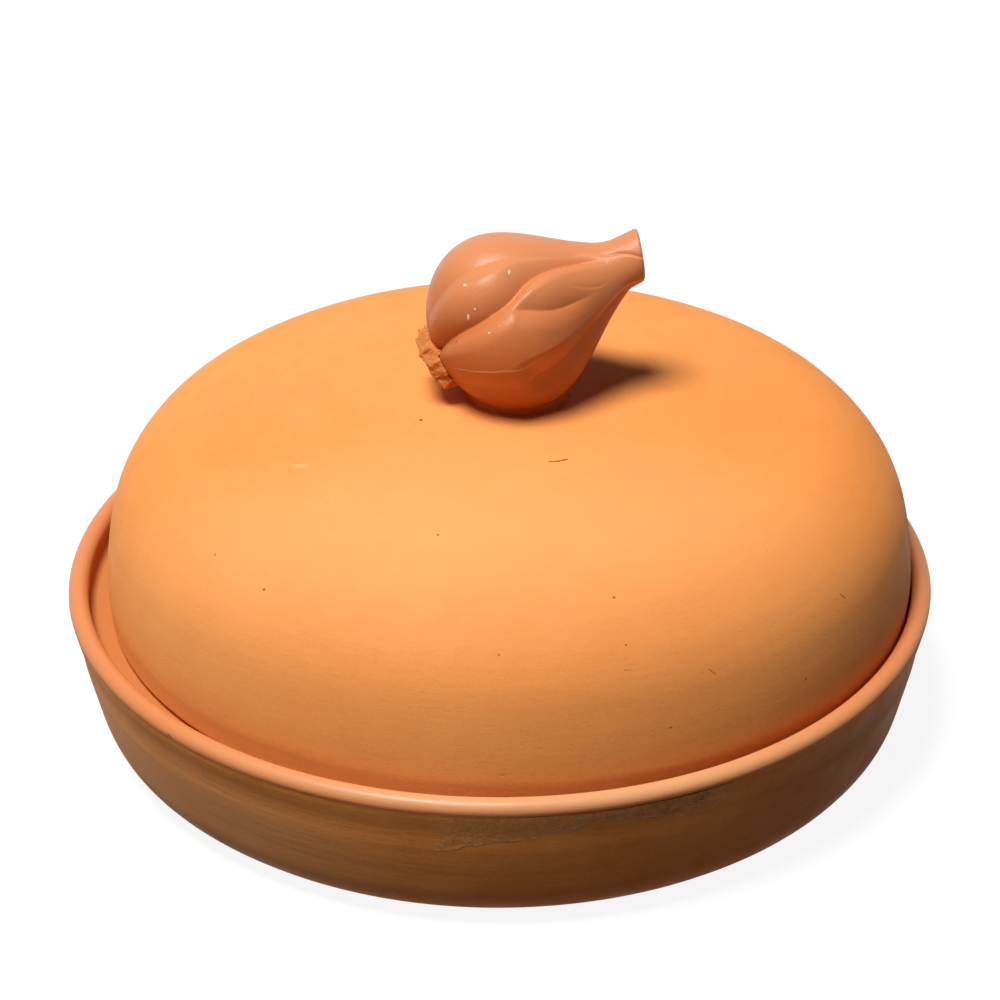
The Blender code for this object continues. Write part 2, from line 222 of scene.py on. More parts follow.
# %% [markdown]
# ## Fired clay
#
# Terracotta is iron-bearing earthenware, fired once and left unglazed. It is matt, it scatters light
# in every direction, and its orange drifts from place to place with the iron and with the flame. Its
# fine grain, the lines of the potter's fingers and sponge, dark iron specks and small pits are all made
# here from noise at their real sizes.
#
# The material function hands back what a piece's own features need: the sockets that carry colour,
# height and roughness. A rim, a seam or a scratch is then mixed in before `finish_clay` joins all of
# them to the shader. So every piece shares one clay body and still has its own marks.

# %% Pattern sizes of the clay, in millimetres
GRAIN_MM = 0.55
BLOTCH_MM = 9.0
DRIFT_MM = 60.0
LINE_MM = 1.2
WIPE_MM = 14.0
SPECK_SPACING_MM = 7.0
SPECK_COLOUR = "#7a4524"
PIT_SPACING_MM = 2.6
PIT_DEPTH_MM = 0.05
GRAIN_HEIGHT_MM = 0.05
LINE_HEIGHT_MM = 0.05
LINE_CONTRAST = 0.04
# how blurred the shine of rubbed clay is
RUBBED_ROUGHNESS = 0.34
CLAY_IOR = 1.5


# %% Two patterns that come up again
def streaks(tree, place, along, length, width, detail, roughness):
    """Noise in lines that run round a turned piece: long that way, and narrow along its outline."""
    course = add(tree, VECTOR_TIMES, (place, (per(length), per(length), 0)))
    level = add(tree, JOIN, {"Z": along})
    course = add(tree, VECTOR_TIMES_PLUS, (level, (0, 0, per(width)), course))
    return add(tree, NOISE, {"Vector": course, "Scale": 1.0, "Detail": detail, "Roughness": roughness})


def grains(tree, place, spacing, share, largest):
    """A mask of round grains. This share of the cells of the pattern holds one each."""
    cells = add(tree, CELLS, {"Vector": place, "Scale": per(spacing)})
    draw = add(tree, "ShaderNodeSeparateColor", (cells.outputs["Color"],))
    size = add(tree, RANGE, (draw, 1.0 - share, 1.0, 0.0, largest))
    return add(tree, (MATH, {"operation": "LESS_THAN"}), (cells.outputs["Distance"], size))


# %% A fired clay body
def clay_body(name, light, dark, roughness, lines, grain, specks, shine=0.14, matt=0.3):
    """Unglazed earthenware with its blotches, grain, lines, specks and pits, before it is finished."""
    material = bpy.data.materials.new(name)
    tree = bare_tree(material)
    place = add(tree, "ShaderNodeTexCoord").outputs["Object"]

    # broad drift of the firing and smaller blotches decide between the light and the dark clay
    drift = add(tree, NOISE, {"Vector": place, "Scale": per(DRIFT_MM), "Detail": 2.0})
    blotch = add(tree, NOISE, {"Vector": place, "Scale": per(BLOTCH_MM), "Detail": 5.0, "Roughness": 0.6})
    both = add(tree, TIMES_PLUS, (blotch, 0.45, drift))
    share = add(tree, RANGE, (both, 0.5, 0.95))
    colour = add(tree, TINT, {0: share, 6: linear(light), 7: linear(dark)})

    # fine grain, a little lighter and darker from grit to grit
    grit = add(tree, NOISE, {"Vector": place, "Scale": per(GRAIN_MM), "Detail": 3.0, "Roughness": 0.7})
    tone = add(tree, RANGE, (grit, 0.25, 0.75, 1.0 - grain, 1.0 + grain))
    colour = add(tree, SHADE, {0: 1.0, 6: colour, 7: tone})

    # lines of throwing and wiping run round the piece, so they follow the length along its outline
    along = add(tree, ("ShaderNodeAttribute", {"attribute_name": "along"})).outputs["Fac"]
    line = streaks(tree, place, along, WIPE_MM, LINE_MM, detail=3.0, roughness=0.6)
    contrast = LINE_CONTRAST * lines
    tone = add(tree, RANGE, (line, 0.3, 0.7, 1.0 - contrast, 1.0 + contrast))
    colour = add(tree, SHADE, {0: 1.0, 6: colour, 7: tone})

    # dark specks of iron: one cell in a few holds one
    speck = grains(tree, place, SPECK_SPACING_MM, share=specks, largest=0.05)
    colour = add(tree, TINT, {0: speck, 6: colour, 7: linear(SPECK_COLOUR)})

    # height in millimetres: pits, grit and lines
    pits = add(tree, CELLS, {"Vector": place, "Scale": per(PIT_SPACING_MM)})
    height = add(tree, RANGE, (pits.outputs["Distance"], 0.0, 0.14, -PIT_DEPTH_MM, 0.0))
    height = add(tree, TIMES_PLUS, (grit, GRAIN_HEIGHT_MM, height))
    height = add(tree, TIMES_PLUS, (line, LINE_HEIGHT_MM * lines, height))
    dullness = add(tree, RANGE, (blotch, 0.3, 0.7, roughness - 0.06, roughness + 0.06))
    return {"material": material, "tree": tree, "place": place, "along": along, "grit": grit,
            "blotch": blotch, "colour": colour, "height": height, "roughness": dullness,
            "shine": shine, "matt": matt, "rubbed": 0.0}


def finish_clay(clay):
    """Joins colour, height and roughness to the shader."""
    tree = clay["tree"]
    bump = add(tree, "ShaderNodeBump", {"Height": clay["height"], "Distance": MM, "Strength": 1.0})
    shader = add(tree, "ShaderNodeBsdfPrincipled", {
        "Base Color": clay["colour"], "Roughness": clay["roughness"], "Normal": bump,
        "Diffuse Roughness": clay["matt"], "IOR": CLAY_IOR, "Specular IOR Level": clay["shine"],
        "Coat Weight": clay["rubbed"], "Coat Roughness": RUBBED_ROUGHNESS})
    add(tree, "ShaderNodeOutputMaterial", {"Surface": shader})
    print(clay["material"].name, "from", len(tree.nodes), "nodes")
    return clay["material"]


# %% Marks in the clay
def spot(clay, centre, size, ragged=0.5, soft=0.1):
    """A mask that is 1 inside an oval spot. Centre and size are in millimetres."""
    tree = clay["tree"]
    centred = add(tree, VECTOR_MINUS, (clay["place"], tuple(c * MM for c in centre)))
    scaled = add(tree, VECTOR_OVER, (centred, tuple(s * MM for s in size)))
    reach = add(tree, (VECTOR, {"operation": "LENGTH"}), (scaled,))
    reach = add(tree, TIMES_PLUS, (clay["grit"], ragged, reach))
    return add(tree, RANGE, (reach, 1.0 + soft + ragged / 2, 1.0 - soft + ragged / 2))


def scratch(clay, start, end, width):
    """A mask that is 1 on a scratch from start to end, thinner and thicker along its way."""
    tree = clay["tree"]
    first, last = Vector(start) * MM, Vector(end) * MM
    reach = last - first
    away = add(tree, VECTOR_MINUS, (clay["place"], tuple(first)))
    share = add(tree, (VECTOR, {"operation": "DOT_PRODUCT"}), (away, tuple(reach / reach.length_squared)))
    share = add(tree, RANGE, (share,))
    nearest = add(tree, VECTOR_SCALE, {0: tuple(reach), "Scale": share})
    gap = add(tree, (VECTOR, {"operation": "DISTANCE"}), (away, nearest))
    gap = add(tree, TIMES_PLUS, (clay["grit"], width * 0.8 * MM, gap))
    return add(tree, RANGE, (gap, 0.95 * width * MM, 0.75 * width * MM))


def press(clay, mask, colour, strength=1.0, depth=0.0):
    """Tints the clay, and lowers it by a depth in millimetres, where the mask is 1."""
    tree = clay["tree"]
    share = add(tree, TIMES, (mask, strength))
    clay["colour"] = add(tree, TINT, {0: share, 6: clay["colour"], 7: linear(colour)})
    if depth:
        clay["height"] = add(tree, TIMES_PLUS, (mask, -depth, clay["height"]))


def overlap(clay, mask, *others):
    """A mask that is 1 only where all of these masks are."""
    for other in others:
        mask = add(clay["tree"], TIMES, (mask, other))
    return mask


def band(clay, value, start, full, fade, end):
    """A mask that rises from start to full, and falls again from fade to end."""
    rising = add(clay["tree"], RANGE, (value, start, full))
    return overlap(clay, rising, add(clay["tree"], RANGE, (value, end, fade)))


# %% [markdown]
# ## The clay of the lid
#
# The lid was sponged smooth before it dried, so its lines are faint. Its colour is painted a little
# deeper on the right, as painted shade, and paler at the front, as a painted sheen. Its few scratches
# and specks came with use. Each is a mask at its own place on the lid, because noise would put them
# somewhere else.

# %% The clay of the lid
WRINKLE_LENGTH_MM = 2.4
WRINKLE_WIDTH_MM = 0.8

clay = clay_body("sponged terracotta of the lid", "#fca65b", "#f59c51",
                 roughness=0.62, lines=0.5, grain=0.05, specks=0.12)
# low on the dome the sponge dragged the drying skin into short fine wrinkles; that low band is painted
# a darker orange and the wrinkles darker still: painted shade near the gallery and in the wrinkles
tree = clay["tree"]
wrinkle = streaks(tree, clay["place"], clay["along"], WRINKLE_LENGTH_MM, WRINKLE_WIDTH_MM,
                  detail=4.0, roughness=0.65)
wrinkle = add(tree, RANGE, (wrinkle, 0.56, 0.74))
low = add(tree, RANGE, (clay["along"], 62 * MM, 84 * MM))
press(clay, low, "#e68c42", 0.12)
press(clay, overlap(clay, wrinkle, low), "#d07a36", 0.18, 0.022)
# the right side is painted a deeper orange: painted shade on the side away from the lamp
to_the_right = add(tree, SPLIT, (clay["place"],)).outputs["X"]
press(clay, add(tree, RANGE, (to_the_right, 30 * MM, 84 * MM)), "#f28e3e", 0.45)
# the front of the shoulder is painted paler: a painted sheen
press(clay, spot(clay, (-12.0, -54.0, 74.0), (66.0, 19.0, 30.0), 0.0, 0.9), "#ffbf7e", 0.33)

# %% Scratches and specks of the lid
# start, end, width and colour of each scratch, then centre, radius and colour of each speck
SCRATCHES = (((10.6, -30.1, 78.4), (13.0, -29.6, 78.4), 0.30, "#5a2c12"),
             ((12.4, -29.9, 78.4), (14.5, -28.9, 78.4), 0.34, "#5a2c12"),
             ((71.9, -51.4, 58.1), (73.2, -50.7, 56.6), 0.17, "#7c4420"),
             ((42.9, -77.5, 55.9), (44.2, -77.3, 54.6), 0.20, "#a4602c"),
             ((25.3, -83.0, 59.2), (26.7, -82.7, 59.0), 0.14, "#8c4e24"))
SPECKS = (((-17.1, -12.2, 79.1), 0.38, "#6e3a1a"), ((-48.9, -62.4, 66.2), 0.28, "#a05a28"),
          ((-12.8, -55.3, 75.1), 0.28, "#a8612c"), ((23.4, -72.5, 70.1), 0.32, "#b56a34"),
          ((35.0, -83.8, 45.7), 0.28, "#b06a34"), ((-59.9, -49.8, 67.2), 0.26, "#c4763c"),
          ((25.7, -80.0, 63.3), 0.22, "#b56a34"), ((-0.2, -83.5, 63.2), 0.22, "#b56a34"),
          ((64.2, -65.2, 45.6), 0.26, "#a05a28"))
for start, end, width, colour in SCRATCHES:
    press(clay, scratch(clay, start, end, width), colour, depth=0.10)
for centre, radius, colour in SPECKS:
    press(clay, spot(clay, centre, (radius, radius, radius)), colour, depth=0.05)
# two pale rubbed places on the crown
for centre, size in (((-42.8, -27.0, 75.9), (1.9, 0.8, 1.0)), ((-35.7, -39.8, 75.5), (0.8, 0.5, 0.6))):
    press(clay, spot(clay, centre, size, 1.4), "#fdc08a", 0.5)
lid_material = finish_clay(clay)

# %% [markdown]
# ## Turning on the wheel
#
# A thrown pot is a profile carried round an axis, with ridges where fingers ran and a slight wobble
# that no wheel takes out. So one tree makes the dish and the lid. It lays a grid, rolls its rows up
# round the axis, and reads each row's place from the profile. Two numbers ride on the profile's
# points: `along`, the length from its start, and `free`, how far the clay may stray from true there.

# %% Profiles
SAME_SPOT = 0.02 * MM


def arc(centre, radius, start, end, count):
    """Points on a circle in the profile plane, from the start angle to the end angle."""
    angles = [start + (end - start) * i / (count - 1) for i in range(count)]
    return [(centre[0] + radius * math.cos(a), centre[1] + radius * math.sin(a)) for a in angles]


def run(start, end, step):
    """Points on a straight stretch, without its first one."""
    count = max(1, round(math.dist(start, end) / step))
    return [(start[0] + (end[0] - start[0]) * i / count, start[1] + (end[1] - start[1]) * i / count)
            for i in range(1, count + 1)]


def lengths(points):
    """How far each point is from the start, measured along the profile."""
    total = [0.0]
    for before, after in zip(points, points[1:]):
        total.append(total[-1] + math.dist(before, after))
    return total


def without_doubles(points):
    """The points, with neighbours on the same spot made one."""
    kept = [points[0]]
    for point in points[1:]:
        if math.dist(point, kept[-1]) > SAME_SPOT:
            kept.append(point)
    return kept


# %% What every geometry tree starts and ends with
def open_tree(name, takes, kinds, gives):
    """A tree that takes and gives one geometry: the tree, the identifier of each input, the inputs."""
    tree = bpy.data.node_groups.new(name, "GeometryNodeTree")
    face = tree.interface
    face.new_socket(takes, in_out="INPUT", socket_type="NodeSocketGeometry")
    identifiers = {label: face.new_socket(label, in_out="INPUT", socket_type="NodeSocket" + kind).identifier
                   for label, kind in kinds.items()}
    face.new_socket(gives, in_out="OUTPUT", socket_type="NodeSocketGeometry")
    return tree, identifiers, add(tree, "NodeGroupInput").outputs


def close_tree(tree, geometry, material):
    """Ends a tree with smooth faces, no instances, and the one material."""
    geometry = add(tree, "GeometryNodeSetShadeSmooth", (geometry,))
    geometry = add(tree, "GeometryNodeRealizeInstances", (geometry,))
    geometry = add(tree, "GeometryNodeSetMaterial", {0: geometry, "Material": material})
    add(tree, "NodeGroupOutput", (geometry,))
    print("tree", tree.name, "from", len(tree.nodes), "nodes")


# %% The wheel
WELD = 0.005 * MM
# noise features per metre: how fast a ridge changes on its way round, and how slowly the clay sways
RIDGE_DRIFT = 7.0
SWAY = 16.0
# moves each seed to a part of the noise of its own
SEED_STEP = 17.0


def wheel_tree():
    """The tree that turns a profile into a pot, and lets it stray from true where it may."""
    tree, identifiers, given = open_tree(
        "thrown on the wheel", "Profile",
        {"Columns": "Int", "Ridge Spacing": "Float", "Ridge Height": "Float", "Wobble": "Float",
         "Seed": "Float", "Material": "Material"}, "Pot")
    count = add(tree, ("GeometryNodeAttributeDomainSize", {"component": "MESH"}),
                (given["Profile"],)).outputs["Point Count"]
    columns = add(tree, PLUS, (given["Columns"], 1.0))
    grid = add(tree, "GeometryNodeMeshGrid",
               {"Size X": 1.0, "Size Y": 1.0, "Vertices X": columns, "Vertices Y": count})
    place = add(tree, "GeometryNodeInputPosition")

    # the grid runs from -0.5 to 0.5: one way is the turn, the other the row of the profile
    split = add(tree, SPLIT, (place,)).outputs
    last = add(tree, MINUS, (count, 1.0))
    share = add(tree, PLUS, (split["Y"], 0.5))
    row = add(tree, TIMES, (share, last))
    index = add(tree, ("FunctionNodeFloatToInt", {"rounding_mode": "ROUND"}), (row,))
    angle = add(tree, TIMES, (split["X"], math.tau))
    outline = add(tree, ("GeometryNodeSampleIndex", {"data_type": "FLOAT_VECTOR"}),
                  {0: given["Profile"], "Value": place, "Index": index})
    out = add(tree, SPLIT, (outline,)).outputs
    x, y = (add(tree, TIMES, (out["X"], add(tree, (MATH, {"operation": word}), (angle,))))
            for word in ("COSINE", "SINE"))
    turned = add(tree, JOIN, (x, y, out["Z"]))

    # both numbers of the profile are copied before the points move
    pot = grid
    along, free = (add(tree, ("GeometryNodeInputNamedAttribute", {"data_type": "FLOAT"}), {"Name": name})
                   for name in ("along", "free"))
    for name, number in (("along", along), ("free", free)):
        sampled = add(tree, ("GeometryNodeSampleIndex", {"data_type": "FLOAT"}),
                      {0: given["Profile"], "Value": number, "Index": index})
        pot = add(tree, ("GeometryNodeStoreNamedAttribute", {"data_type": "FLOAT", "domain": "POINT"}),
                  {0: pot, "Name": name, "Value": sampled})
    pot = add(tree, "GeometryNodeSetPosition", {0: pot, "Position": turned})
    pot = add(tree, "GeometryNodeMergeByDistance", {0: pot, "Distance": WELD})

    # ridges follow the length along the profile and drift a little on their way round
    pitch = add(tree, OVER, (along, given["Ridge Spacing"]))
    level = add(tree, TIMES_PLUS, (given["Seed"], SEED_STEP, pitch))
    lengthwise = add(tree, JOIN, {"Z": level})
    around = add(tree, VECTOR_TIMES_PLUS, (place, (RIDGE_DRIFT, RIDGE_DRIFT, 0.0), lengthwise))
    ridges = add(tree, NOISE, {"Vector": around, "Scale": 1.0, "Detail": 2.0, "Roughness": 0.5})
    ridge = add(tree, MINUS, (ridges, 0.5))
    ridge = add(tree, TIMES, (ridge, given["Ridge Height"]))
    shifted = add(tree, VECTOR_PLUS, (place, given["Seed"]))
    sway = add(tree, NOISE, {"Vector": shifted, "Scale": SWAY, "Detail": 1.0, "Roughness": 0.4})
    stray = add(tree, MINUS, (sway, 0.5))
    push = add(tree, TIMES_PLUS, (stray, given["Wobble"], ridge))
    push = add(tree, TIMES, (push, free))
    normal = add(tree, "GeometryNodeInputNormal")
    offset = add(tree, VECTOR_SCALE, {0: normal, "Scale": push})
    pot = add(tree, "GeometryNodeSetPosition", {0: pot, "Offset": offset})
    # this order of rows and columns leaves the grid facing inwards, so its faces are turned round
    pot = add(tree, "GeometryNodeFlipFaces", (pot,))
    close_tree(tree, pot, given["Material"])
    return tree, identifiers


# %% Growing a mesh with a tree
def grown(name, mesh, tree, identifiers, values):
    """Runs a geometry tree over a mesh and keeps the result as a plain mesh object."""
    source = placed(name, mesh)
    modifier = source.modifiers.new(name, "NODES")
    modifier.node_group = tree
    for label, value in values.items():
        modifier[identifiers[label]] = value
    bpy.context.view_layer.update()
    evaluated = source.evaluated_get(bpy.context.evaluated_depsgraph_get())
    result = bpy.data.meshes.new_from_object(evaluated)
    source.modifiers.clear()
    source.data = result
    result.name = name
    print(name, len(result.polygons), "faces")
    return source


WHEEL, WHEEL_INPUTS = wheel_tree()
# ridges left by the fingers, and how far the whole wall sways from true
POT = {"Columns": 480, "Ridge Height": 0.16 * MM, "Wobble": 0.5 * MM}


def thrown(name, points, free, values):
    """Turns a profile of (radius, height) points. free gives, for each point, how far it may stray."""
    mesh = bpy.data.meshes.new(name + " profile")
    mesh.from_pydata([(r, 0.0, z) for r, z in points], [(i, i + 1) for i in range(len(points) - 1)], [])
    mesh.attributes.new("along", "FLOAT", "POINT").data.foreach_set("value", lengths(points))
    mesh.attributes.new("free", "FLOAT", "POINT").data.foreach_set("value", free)
    return grown(name, mesh, WHEEL, WHEEL_INPUTS, values)


# %% [markdown]
# ## The dish
#
# The outline is read off the frame where it can be: the rim's radius and height are the CAD node's
# own. The ledge that carries the lid stays true, and the walls may stray by tenths of a millimetre.

# %% Sizes of the dish
dish_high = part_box("dish")[1]
RIM_RADIUS = dish_high.x
RIM_HEIGHT = dish_high.z
BEAD = 2.2 * MM
BEAD_POINTS = 24
OVERHANG = 0.2 * MM
SLOPE_AT_RIM = math.radians(79.1)
SLOPE_AT_FOOT = math.radians(75.4)
WALL_STEPS = 44
FOOT_ROUNDING = 14.0 * MM
COLLAR_TOP = 1.0 * MM
COLLAR_HEIGHT = 10.0 * MM
COLLAR_DEPTH = 0.25 * MM
FLOOR_THICKNESS = 5.5 * MM
LEDGE_HEIGHT = RIM_HEIGHT - 6.8 * MM
LEDGE_WIDTH = 8.1 * MM
LEDGE_FILLET = 0.8 * MM
LEDGE_EDGE = 1.4 * MM
WELL_DRAFT = math.radians(3.0)
WELL_ROUNDING = 11.0 * MM
GALLERY_RADIUS = RIM_RADIUS - 2 * BEAD
WELL_RADIUS = GALLERY_RADIUS - LEDGE_WIDTH


# %% Its outline
def dish_outline():
    """From the middle of the floor up the inside, over the rim and down to the middle of the base."""
    centre_height = FLOOR_THICKNESS + WELL_ROUNDING
    edge_low = LEDGE_HEIGHT - LEDGE_EDGE
    corner = WELL_RADIUS - (edge_low - centre_height) * math.tan(WELL_DRAFT) - WELL_ROUNDING
    points = [(0.0, FLOOR_THICKNESS)] + run((0.0, FLOOR_THICKNESS), (corner, FLOOR_THICKNESS), 4 * MM)
    points += arc((corner, centre_height), WELL_ROUNDING, -math.pi / 2, -WELL_DRAFT, 14)
    points += run(points[-1], (WELL_RADIUS, edge_low), 1.6 * MM)
    points += arc((WELL_RADIUS + LEDGE_EDGE, edge_low), LEDGE_EDGE, math.pi, math.pi / 2, 8)
    points += run(points[-1], (GALLERY_RADIUS - LEDGE_FILLET, LEDGE_HEIGHT), 1.2 * MM)
    points += arc((GALLERY_RADIUS - LEDGE_FILLET, LEDGE_HEIGHT + LEDGE_FILLET), LEDGE_FILLET,
                  -math.pi / 2, 0.0, 6)
    bead_height = RIM_HEIGHT - BEAD
    points += run(points[-1], (GALLERY_RADIUS, bead_height), 0.8 * MM)
    inner = len(points)
    lower = math.acos(1 - OVERHANG / BEAD)
    points += arc((RIM_RADIUS - BEAD, bead_height), BEAD, math.pi, -lower, BEAD_POINTS)

    # the wall is one long arc, hollowed a little just under the rim by the collar
    wall_top = bead_height - BEAD * math.sin(lower)
    foot_rise = FOOT_ROUNDING * (1 - math.cos(SLOPE_AT_FOOT))
    belly = (wall_top - foot_rise) / (math.cos(SLOPE_AT_FOOT) - math.cos(SLOPE_AT_RIM))
    for i in range(1, WALL_STEPS + 1):
        slope = SLOPE_AT_RIM + (SLOPE_AT_FOOT - SLOPE_AT_RIM) * i / WALL_STEPS
        drop = belly * (math.cos(slope) - math.cos(SLOPE_AT_RIM))
        inset = belly * (math.sin(SLOPE_AT_RIM) - math.sin(slope))
        share = min(1.0, max(0.0, drop - COLLAR_TOP) / COLLAR_HEIGHT)
        collar = COLLAR_DEPTH * math.sin(math.pi * share) ** 2
        points.append((RIM_RADIUS - OVERHANG - inset - collar, wall_top - drop))
    outer = len(points)
    foot = (points[-1][0] - FOOT_ROUNDING * math.sin(SLOPE_AT_FOOT), FOOT_ROUNDING)
    points += arc(foot, FOOT_ROUNDING, SLOPE_AT_FOOT - math.pi / 2, -math.pi / 2, 18)[1:]
    points += run(points[-1], (0.0, 0.0), 6 * MM)
    return points, inner, outer


points, inner, outer = dish_outline()
reach = lengths(points)
RIM_START = reach[inner]
RIM_END = reach[inner + BEAD_POINTS - 1]
print("rim from", round(RIM_START / MM, 1), "to", round(RIM_END / MM, 1), "mm along the outline")

# %% [markdown]
# The rim was sponged and rubbed as it turned, which brings up the finest clay: it fires paler and
# takes a soft shine; the palest patch on top of its front is a painted highlight. Just under it at the
# front, wet clay from the rim was dragged down over the wall and left to dry. It is a thin crust with a
# torn lower edge, so it is drawn in the material: a band in turns round the axis and in length along
# the outline, with noise on its edge.

# %% The clay of the dish
clay = clay_body("thrown terracotta of the dish", "#f49c50", "#e0843a",
                 roughness=0.60, lines=1.6, grain=0.11, specks=0.16, shine=0.08)
tree = clay["tree"]
place, along = clay["place"], clay["along"]
# degrees round the axis, 0 at the front and positive to the right
split = add(tree, SPLIT, (place,)).outputs
toward_front = add(tree, TIMES, (split["Y"], -1.0))
turn = add(tree, (MATH, {"operation": "ARCTAN2"}), (split["X"], toward_front))
turn = add(tree, (MATH, {"operation": "DEGREES"}), (turn,))

# inside the rim the dish is painted darker: painted shade in the gallery and under the lid
press(clay, add(tree, RANGE, (along, RIM_START, RIM_START - 2.0 * MM)), "#ca7e46")

# the rim, with its top rubbed to a shine
rim = band(clay, along, RIM_START, RIM_START + 1.0 * MM, RIM_END - 0.5 * MM, RIM_END + 0.1 * MM)
press(clay, rim, "#e08c54")
top = overlap(clay, rim, add(tree, RANGE, (along, RIM_END - 0.8 * MM, RIM_END - 2.4 * MM)))
clay["rubbed"] = add(tree, TIMES, (top, 0.5))
# at the front the top of the rim is painted palest: a painted highlight
press(clay, overlap(clay, band(clay, turn, -48.0, -6.0, 22.0, 60.0), top), "#f0b885", 0.6)

# %% Where the crust under the rim is
TEAR_MM = 4.0
CRUMB_MM = 2.1

# millimetres below the rim, and how far down the crust reaches at each turn, torn by noise
below = add(tree, OPEN_RANGE, (along, RIM_END, RIM_END + MM))
tear = add(tree, NOISE, {"Vector": place, "Scale": per(TEAR_MM), "Detail": 5.0, "Roughness": 0.65})
edge = add(tree, RANGE, (turn, -8.0, 14.0, 10.5, 3.4))
step = add(tree, RANGE, (turn, 15.0, 19.0, 0.0, 1.6))
edge = add(tree, PLUS, (edge, step))
torn = add(tree, OPEN_RANGE, (tear, 0.0, 1.0, -2.4, 2.4))
edge = add(tree, PLUS, (edge, torn))
above_edge = add(tree, MINUS, (edge, below))
crust = overlap(clay, band(clay, turn, -9.0, -6.0, 26.0, 32.0),
                add(tree, RANGE, (below, -0.2, 0.2)), add(tree, RANGE, (above_edge, 0.0, 0.25)))
press(clay, crust, "#cf9460", 0.3)

# %% What the crust looks like
# the torn edge is painted paler: a painted highlight along its thin lip
painted_lip_highlight = overlap(clay, add(tree, RANGE, (above_edge, 0.75, 0.25)), crust)
press(clay, painted_lip_highlight, "#f2b276", 0.6)
# it dried in lumps, rougher towards the right: their tops are painted pale and the hollows between them
# dark, as painted highlight and painted shade
crumb = add(tree, NOISE, {"Vector": place, "Scale": per(CRUMB_MM), "Detail": 4.0, "Roughness": 0.7})
ragged = overlap(clay, add(tree, RANGE, (turn, 2.0, 15.0, 0.35, 1.0)), crust)
press(clay, overlap(clay, add(tree, RANGE, (crumb, 0.54, 0.68)), ragged), "#f0bc8a", 0.5)
press(clay, overlap(clay, add(tree, RANGE, (crumb, 0.46, 0.34)), ragged), "#6a3a18", 0.3)
# the crust stands 0.2 mm proud, and its lumps up to a millimetre more
lumpy = add(tree, OPEN_RANGE, (crumb, 0.0, 1.0, -0.6, 1.6))
rise = add(tree, PLUS, (overlap(clay, lumpy, ragged), 0.2))
clay["height"] = add(tree, TIMES_PLUS, (crust, rise, clay["height"]))

# %% Wear on the wall
GROG_SPACING_MM = 3.2

# the wall is painted a little darker towards the foot: painted shade
press(clay, add(tree, RANGE, (along, RIM_END + 6 * MM, RIM_END + 33 * MM)), "#a04c12", 0.6)
# patches on the left of the wall, below the rim, are painted paler: painted light on the side the lamp
# falls on
painted_light_below_rim = add(tree, RANGE, (along, RIM_END + 2 * MM, RIM_END + 12 * MM))
patches = add(tree, RANGE, (clay["blotch"], 0.3, 0.7, 0.5, 1.0))
on_the_left = band(clay, turn, -110.0, -80.0, -34.0, -12.0)
press(clay, overlap(clay, on_the_left, painted_light_below_rim, patches), "#f2b782", 0.5)
# the right of the wall, from just under the rim, is painted darker: painted shade on the side away from the
# lamp
painted_shade_below_rim = add(tree, RANGE, (along, RIM_END + 0.2 * MM, RIM_END + 3 * MM))
on_the_right = band(clay, turn, 32.0, 66.0, 110.0, 160.0)
press(clay, overlap(clay, on_the_right, painted_shade_below_rim), "#6a3010", 0.55)
# pale grains of grog stand a little proud all over the wall
on_wall = add(tree, RANGE, (along, RIM_END + 0.5 * MM, RIM_END + 1.5 * MM))
grog = overlap(clay, grains(tree, place, GROG_SPACING_MM, share=0.45, largest=0.085), on_wall)
press(clay, grog, "#f3b67c", 0.5, -0.12)
# one scratch at the left, and two lumps of grog that stand out in the wall at the front
press(clay, scratch(clay, (-70.0, -67.7, 33.9), (-69.2, -68.5, 33.6), 0.28), "#8c4a22", depth=0.2)
press(clay, spot(clay, (16.3, -95.3, 31.6), (0.9, 0.9, 0.6), 0.6), "#d8a272", depth=-0.3)
press(clay, spot(clay, (-12.0, -94.5, 23.9), (0.6, 0.8, 0.5), 0.6), "#d09a68", depth=-0.2)
dish_material = finish_clay(clay)

# %% Throwing the dish
# points over which the wall's freedom grows from the rim, and points of the foot that still have it
FREE_AFTER = 12
FREE_FOOT = 8
WELL_FREEDOM = 0.5

# the well and the wall may stray, the ledge, gallery and base stay true
free = []
for i, (r, z) in enumerate(points):
    if inner < i < outer + FREE_FOOT:
        free.append(min(1.0, (i - inner) / FREE_AFTER))
    elif r < WELL_RADIUS and 0 < i < inner:
        free.append(WELL_FREEDOM)
    else:
        free.append(0.0)
dish = thrown("dish_thrown", points, free,
              {**POT, "Ridge Spacing": 6.5 * MM, "Seed": 3.0, "Material": dish_material})

# %% [markdown]
# ## The lid
#
# Three arcs that run into each other make the dome: a long flat crown, a tight shoulder and a steep
# side, over a short skirt. It sits off centre in the gallery, as a loose lid does.

# %% Sizes of the lid
lid_low, lid_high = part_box("lid")
LID_RADIUS = (lid_high.x - lid_low.x) / 2
LID_SHIFT = (lid_high.x + lid_low.x) / 2
LID_SEAT = lid_low.z
LID_WALL = 4.8 * MM
LID_EDGE = 1.5 * MM
SKIRT = 6.7 * MM
SKIRT_DRAFT = math.radians(3.4)
SIDE_RADIUS = 69.7 * MM
SIDE_SLOPE = math.radians(76.7)
SHOULDER_RADIUS = 28.2 * MM
CROWN_SLOPE = math.radians(10.9)
# the crown takes what the side and the shoulder leave of the radius
CROWN_START = (LID_RADIUS - SIDE_RADIUS * (1 - math.sin(SIDE_SLOPE))
               - SHOULDER_RADIUS * (math.sin(SIDE_SLOPE) - math.sin(CROWN_SLOPE)))
CROWN_RADIUS = CROWN_START / math.sin(CROWN_SLOPE)
# each arc of the dome: its radius, its first and last slope, and its number of points
DOME_ARCS = ((SIDE_RADIUS, math.pi / 2, SIDE_SLOPE, 14), (SHOULDER_RADIUS, SIDE_SLOPE, CROWN_SLOPE, 40),
             (CROWN_RADIUS, CROWN_SLOPE, 0.0, 56))


